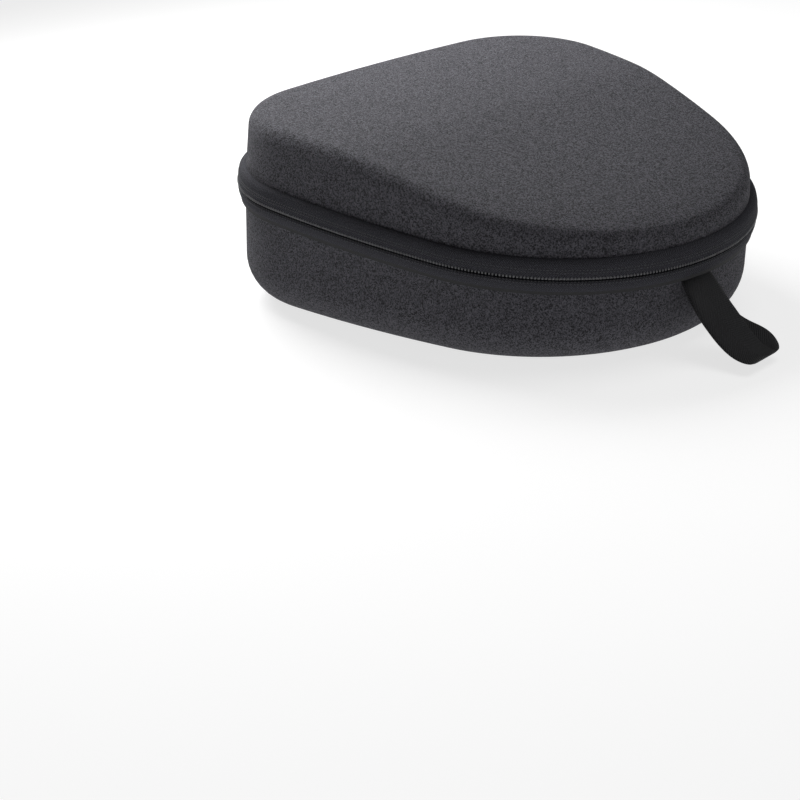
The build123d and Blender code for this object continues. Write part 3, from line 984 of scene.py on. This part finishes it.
# Root of the loop: the two stacked ends of the same webbing, sewn together and tucked up behind the belt
# at the nose. They stay with the base while the loop swings.
root_rows = []
root_cloth = []
root_half_width = 0.0088
root_cells = 8
root_row_depth = 0.001
root_profile = (
    (0.0044, -0.0095), (0.0030, -0.0104), (0.0024, -0.0112), (0.0024, -0.0124), (0.0036, -0.0130),
)
for index, (inset, over) in enumerate(root_profile):
    row = []
    flat = []
    for cell in range(root_cells + 1):
        across = root_half_width * (2 * cell / root_cells - 1)
        row.append(rim_place(math.degrees(across / nose_radius) % 360.0, inset, over))
        flat.append((index * root_row_depth, across + webbing_width / 2))
    root_rows.append(row)
    root_cloth.append(flat)
webbing_root = cloth_surface("webbing_root", root_rows, root_cloth, False)
face_outwards(webbing_root)
dress(webbing_root, webbing_black, "base", "webbing", "loop_root")

# Foam shells: closed-cell EVA foam, pressed to the shape of each half with its cloth and its lining. They
# lie between the two, and are hidden all round once the rim is bound.
eva_foam, tree, shader = new_material("eva_foam", 0.85)
foam_cells = solid_pattern(tree, "ShaderNodeTexVoronoi", 1800.0, "Distance")
paint(tree, shader, foam_cells, (0.012, 0.012, 0.013, 1.0), (0.030, 0.030, 0.032, 1.0))
raise_relief(tree, foam_cells, 0.0001, shader)
nodes["base_shell"].data.materials.clear()
nodes["base_shell"].data.materials.append(eva_foam)
foam_inset = 0.0052
inner_rim = 0.0006
foam_drop = 0.0012
foam_round = 0.0065
inner_step = 0.004
lid_foam = shell_lid("lid_foam", foam_inset, inner_rim, foam_drop, foam_round, lid_draft, inner_step)
face_outwards(lid_foam)
dress(lid_foam, eva_foam, "lid", "eva_foam", "lid_shell")

# Linings: short-pile velour, laminated to the inside of each foam shell and pressed with it. It runs up to
# the rim, where the binding covers its edge.
room_inset = 0.0096
lining_floor = 0.0056
lining_round = 0.005
velour, tree, shader = new_material("velour", 1.0)
pile_fine = solid_pattern(tree, "ShaderNodeTexNoise", 2600.0, "Fac")
pile_cloud = solid_pattern(tree, "ShaderNodeTexNoise", 45.0, "Fac")
pile = calc(tree, "MULTIPLY", pile_fine, spread(tree, pile_cloud, 0.35, 0.65, 0.7, 1.3))
paint(tree, shader, pile, (0.010, 0.010, 0.011, 1.0), (0.050, 0.050, 0.054, 1.0))
shader.inputs["Sheen Weight"].default_value = 0.4
shader.inputs["Specular IOR Level"].default_value = 0.1
raise_relief(tree, pile_fine, 0.0002, shader)

base_velour = tub(
    "base_velour", room_inset, -inner_rim, lining_floor, base_round - lining_floor, base_draft, inner_step
)
face_outwards(base_velour)
base_velour.data.flip_normals()
dress(base_velour, velour, "base", "velour_lining", "base_lining")
lid_velour = shell_lid(
    "lid_velour", room_inset, inner_rim, lining_floor, lining_round, lid_draft, inner_step
)
face_outwards(lid_velour)
lid_velour.data.flip_normals()
dress(lid_velour, velour, "lid", "velour_lining", "lid_lining")

# Edge bindings: black grosgrain ribbon. One length is folded over the raw rim of each half and sewn down
# inside with a row of long stitches.
binding_profile = [
    (0.0026, 0.00050), (0.0040, 0.00035), (0.0070, 0.00030), (0.0094, 0.00035), (0.0102, 0.0007),
    (0.0105, 0.0016), (0.0106, 0.0050), (0.0106, 0.0084), (0.0103, 0.0092), (0.0096, 0.0094),
]


def build_grosgrain():
    """Close round ribs across a ribbon."""
    group, given, made = new_weave(
        "grosgrain_ribs", Pitch=0.0008, Dark=(0.01, 0.01, 0.01, 1.0), Pale=(0.04, 0.04, 0.04, 1.0)
    )
    along, across = cloth_axes(group, 1.0)
    turn = calc(group, "MULTIPLY", calc(group, "DIVIDE", along, given["Pitch"]), math.pi)
    rib = calc(group, "ABSOLUTE", calc(group, "SINE", turn))
    fuzz = mottle(group, pair(group, along, across), 1200.0, 2.0)
    tone = calc(group, "MULTIPLY", rib, spread(group, fuzz, 0.3, 0.7, 0.6, 1.0))
    group.links.new(tint(group, tone, given["Dark"], given["Pale"]), made["Color"])
    group.links.new(rib, made["Height"])
    return group


grosgrain_ribs = build_grosgrain()
ribbon_black, tree, shader = new_material("ribbon_black", 0.6)
lay_weave(
    tree, shader, grosgrain_ribs, 0.00012,
    Pitch=0.0009, Dark=(0.010, 0.010, 0.011, 1.0), Pale=(0.045, 0.045, 0.049, 1.0),
)
ribbon_step = 0.003
seam_pitch = 0.0036
seam_inset = 0.01068
seam_over = 0.0080
seam_stitch = (0.0011, 0.00025, 0.00018)
for body, side in (("base", -1), ("lid", 1)):
    profile = [(inset, side * over) for inset, over in binding_profile]
    binding = rim_band(f"{body}_binding", profile, 0.0, 360.0, ribbon_step)
    face_outwards(binding)
    binding.data.flip_normals()
    dress(binding, ribbon_black, body, "black_ribbon", f"{body}_edge_binding")
    places = rim_places(0.0, 360.0, seam_pitch, seam_inset, side * seam_over)
    seam = bead_row(f"{body}_binding_stitches", places, seam_stitch)
    dress(seam, tape_thread, body, "black_ribbon")

# Lid pocket: a sheet of knitted mesh stretched over the nose side of the lid, with its raw edge bound,
# and open towards the wide end.
pocket_inset = 0.0110
pocket_over = 0.0047
pocket_mouth = 0.032
pocket_centre = Vector((0.0, -0.030))
pocket_step = 0.004
pocket_rings = 24
pocket_sag = 0.0012
mouth_start = 60.0
mouth_step = 0.05


def edge_point(heading, inset):
    """A point in plan on the outline moved in by inset."""
    centre, radius = plan_arc(heading)
    return centre + heading_normal(heading) * (radius - inset)


def mouth_heading(inset, mouth):
    """Heading where the outline, moved in by inset, crosses the mouth of the pocket."""
    heading = mouth_start
    while edge_point(heading, inset).y < mouth:
        heading += mouth_step
    return heading


def pocket_boundary(inset, mouth, step):
    """The edge of the pocket in plan: round the nose, then straight across the mouth."""
    end = mouth_heading(inset, mouth)
    edge = [edge_point(heading, inset) for heading, walked in rim_walk(-end, end, step)]
    across = int((edge[-1] - edge[0]).length / step)
    return edge + [edge[-1].lerp(edge[0], share / across) for share in range(1, across)]


pocket_edge = pocket_boundary(pocket_inset, pocket_mouth, pocket_step)
pocket_rows = []
pocket_cloth = []
for ring in range(pocket_rings):
    share = 1.0 - ring / pocket_rings
    flat = [pocket_centre + (place - pocket_centre) * share for place in pocket_edge]
    sag = pocket_sag * (1.0 - share ** 2)
    pocket_rows.append([zip_place(place.x, place.y, pocket_over - sag) for place in flat])
    pocket_cloth.append(flat)
knit_mesh = cloth_surface("knit_mesh", pocket_rows, pocket_cloth, True, capped=True)
net_pitch = 0.0020
net_hole = 0.30
net_cord = 0.36
net, tree, shader = new_material("net", 0.7)
along, across = cloth_axes(tree, net_pitch)
shifted = calc(tree, "ADD", along, calc(tree, "MULTIPLY", calc(tree, "FLOOR", across), 0.5))
hole_x = calc(tree, "SUBTRACT", calc(tree, "FRACT", shifted), 0.5)
hole_y = calc(tree, "SUBTRACT", calc(tree, "FRACT", across), 0.5)
squares = [calc(tree, "POWER", calc(tree, "ABSOLUTE", side), 2.0) for side in (hole_x, hole_y)]
from_middle = calc(tree, "SQRT", calc(tree, "ADD", *squares))
tree.links.new(spread(tree, from_middle, net_hole, net_cord, 0.0, 1.0), shader.inputs["Alpha"])
yarn = mottle(tree, pair(tree, along, across), 3.0, 2.0)
paint(tree, shader, yarn, (0.012, 0.012, 0.013, 1.0), (0.05, 0.05, 0.055, 1.0))
raise_relief(tree, from_middle, 0.0002, shader)
dress(knit_mesh, net, "lid", "pocket_mesh", "pocket_mesh")

# Pocket binding: a narrow grosgrain ribbon. It is laid along the edge of the mesh and sewn with it to the
# edge binding, round the nose of the lid.
pocket_fold = 0.0110
pocket_end = mouth_heading(pocket_inset, pocket_mouth)
pocket_band_profile = [
    (0.0109, 0.0050), (0.0110, 0.0057), (0.0120, 0.0060), (0.0140, 0.0060), (0.0150, 0.0057),
    (0.0151, 0.0050),
]
folded_profile = [(inset, pocket_fold - over) for inset, over in pocket_band_profile]
pocket_ribbon = rim_band("pocket_ribbon", folded_profile, -pocket_end, pocket_end, ribbon_step)
dress(pocket_ribbon, ribbon_black, "lid", "black_ribbon", "pocket_binding")

# Pocket elastic: a flat woven elastic with a soft gather. It hems the mouth of the pocket, and its ends
# are sewn down at the sides of the lid.
elastic_half_width = 0.004
elastic_half_thick = 0.0007
gather_depth = 0.00012
gather_pitch = 0.0016
elastic_middle = pocket_mouth + elastic_half_width
elastic_end = mouth_heading(pocket_inset, elastic_middle)
elastic_half = edge_point(elastic_end, pocket_inset).x
elastic_rows = []
elastic_cloth = []
elastic_sides = 16
elastic_steps = 96
for side in range(elastic_sides + 1):
    turn = 2 * math.pi * side / elastic_sides
    row = []
    flat = []
    for step in range(elastic_steps + 1):
        across = elastic_half * (2 * step / elastic_steps - 1)
        gather = gather_depth * math.sin(across / gather_pitch)
        along = elastic_middle + elastic_half_width * math.cos(turn)
        over = pocket_over + (elastic_half_thick + gather) * math.sin(turn)
        row.append(zip_place(across, along, over))
        flat.append((across, elastic_half_width * side / elastic_sides))
    elastic_rows.append(row)
    elastic_cloth.append(flat)
hem_elastic = cloth_surface("hem_elastic", elastic_rows, elastic_cloth, False)
dress(hem_elastic, ribbon_black, "lid", "elastic", "pocket_elastic")
